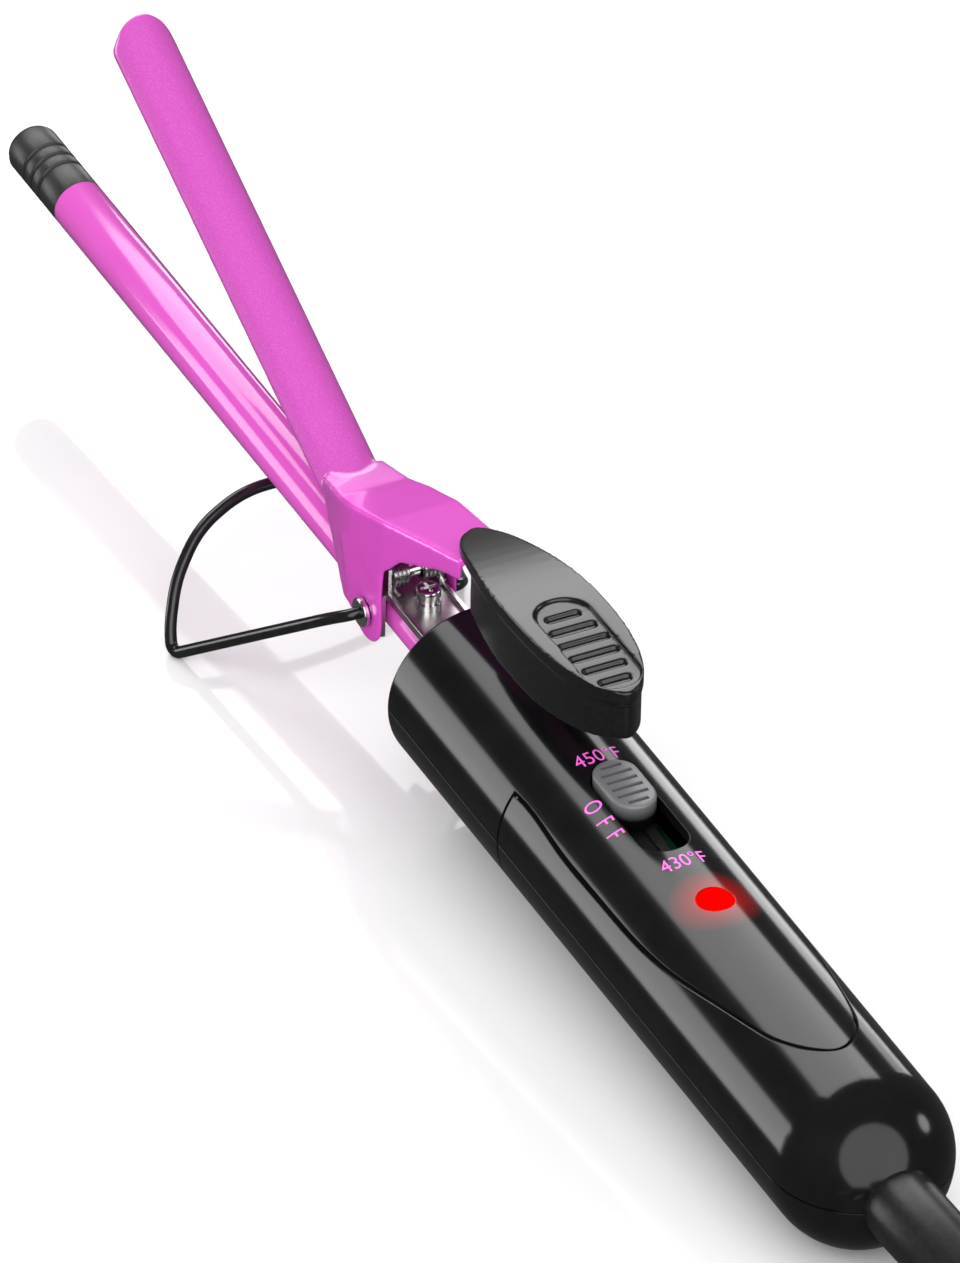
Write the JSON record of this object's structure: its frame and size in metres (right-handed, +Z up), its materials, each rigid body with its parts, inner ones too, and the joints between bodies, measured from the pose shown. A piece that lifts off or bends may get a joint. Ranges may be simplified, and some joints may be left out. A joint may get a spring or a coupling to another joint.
{
  "type": "curling iron",
  "caption": "Slim clamp curling iron with a domed handle, sprung spoon clamp, wire table stand, slide switch, indicator lamp and a tied mains lead.",
  "frame": {"origin": "on the table under the middle of the iron without its lead", "axes": "+X along the barrel towards its tip, +Y to the iron's left, +Z up from the table; the iron leans tip up by 2.66 degrees on its wire stand"},
  "size_m": [0.559, 0.0624, 0.0792],
  "materials": {
    "gloss_black": "gloss",
    "pink_enamel": "gloss",
    "pink_sparkle": "satin metallic",
    "tip_black": "satin",
    "plated": "bright",
    "spring_steel": "bright",
    "screw_steel": "satin",
    "black_wire": "satin",
    "ceramic": "matt",
    "mica": "matt",
    "copper_lead": "plain",
    "red_lens": "gloss",
    "board": "satin",
    "cord_pvc": "satin",
    "tie": "satin",
    "contact_brass": "plain"
  },
  "bodies": {
    "frame": {"barrel_tube": "pink_enamel", "tip_cap": "tip_black", "heater_core": "ceramic", "mica_sleeve": "mica", "heater_leads": "copper_lead", "barrel_collar": "tip_black", "upper_housing": "gloss_black", "lower_housing": "gloss_black", "housing_screws": "screw_steel", "switch_body": "tip_black", "control_board": "board", "indicator_lamp": "red_lens", "thermal_fuse": "ceramic", "indicator_lens": "red_lens", "hinge_bracket": "plated", "bracket_washer": "plated", "bracket_screw": "plated", "torsion_spring": "spring_steel", "spring_pin": "plated", "pivot_bushings": "plated", "strain_relief": "cord_pvc", "power_cord": "cord_pvc", "cord_tail": "cord_pvc", "cord_hank": "cord_pvc", "cord_tie": "tie", "plug_body": "cord_pvc", "plug_blades": "contact_brass", "cord_grip": "tip_black", "cord_grip_screws": "screw_steel"},
    "clamp": {"barrel_clamp": "pink_sparkle", "thumb_rest": "gloss_black", "thumb_rest_screws": "screw_steel"},
    "stand": {"wire_stand": "black_wire"},
    "switch": {"switch_knob": "gloss_black"}
  },
  "joints": [
    {"name": "clamp_hinge", "type": "hinge", "parent": "frame", "child": "clamp", "pos_m": [0.0179, 0, 0.0226], "axis": [0, -1, 0], "range_deg": [-24.6, 6], "stiffness_Nm_per_rad": 0.35, "springref_deg": -31.51},
    {"name": "stand_swing", "type": "hinge", "parent": "frame", "child": "stand", "pos_m": [0.0179, 0, 0.0226], "axis": [0, 1, 0], "range_deg": [0, 140]},
    {"name": "switch_slide", "type": "slide", "parent": "frame", "child": "switch", "axis": [-0.9989, 0, -0.0464], "range_m": [0, 0.01]}
  ]
}
